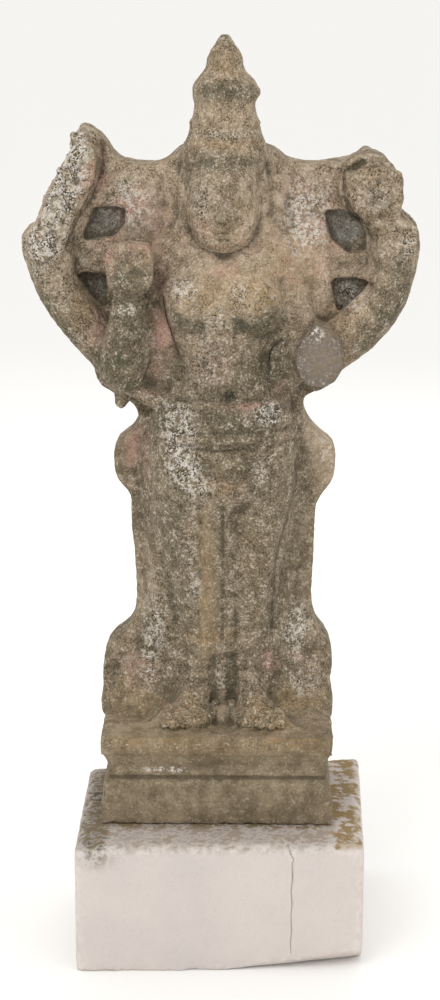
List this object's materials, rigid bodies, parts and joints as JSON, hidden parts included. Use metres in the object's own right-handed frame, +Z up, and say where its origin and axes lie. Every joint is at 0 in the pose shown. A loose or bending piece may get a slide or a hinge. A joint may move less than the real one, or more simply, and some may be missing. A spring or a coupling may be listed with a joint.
{
  "type": "durga statue",
  "caption": "Weathered granite relief statue of a standing four-armed goddess with back slab and moulded plinth, on a pale stone block.",
  "frame": {"origin": "middle of the block's underside, on the ground", "axes": "+Z up, +X to the viewer's right as the viewer faces the goddess, -Y towards the viewer"},
  "size_m": [0.5618, 0.3742, 1.2949],
  "materials": {
    "weathered_granite": "matte",
    "pale_stone": "matte"
  },
  "bodies": {
    "root": {"statue": "weathered_granite", "stone_block": "pale_stone"}
  },
  "joints": []
}
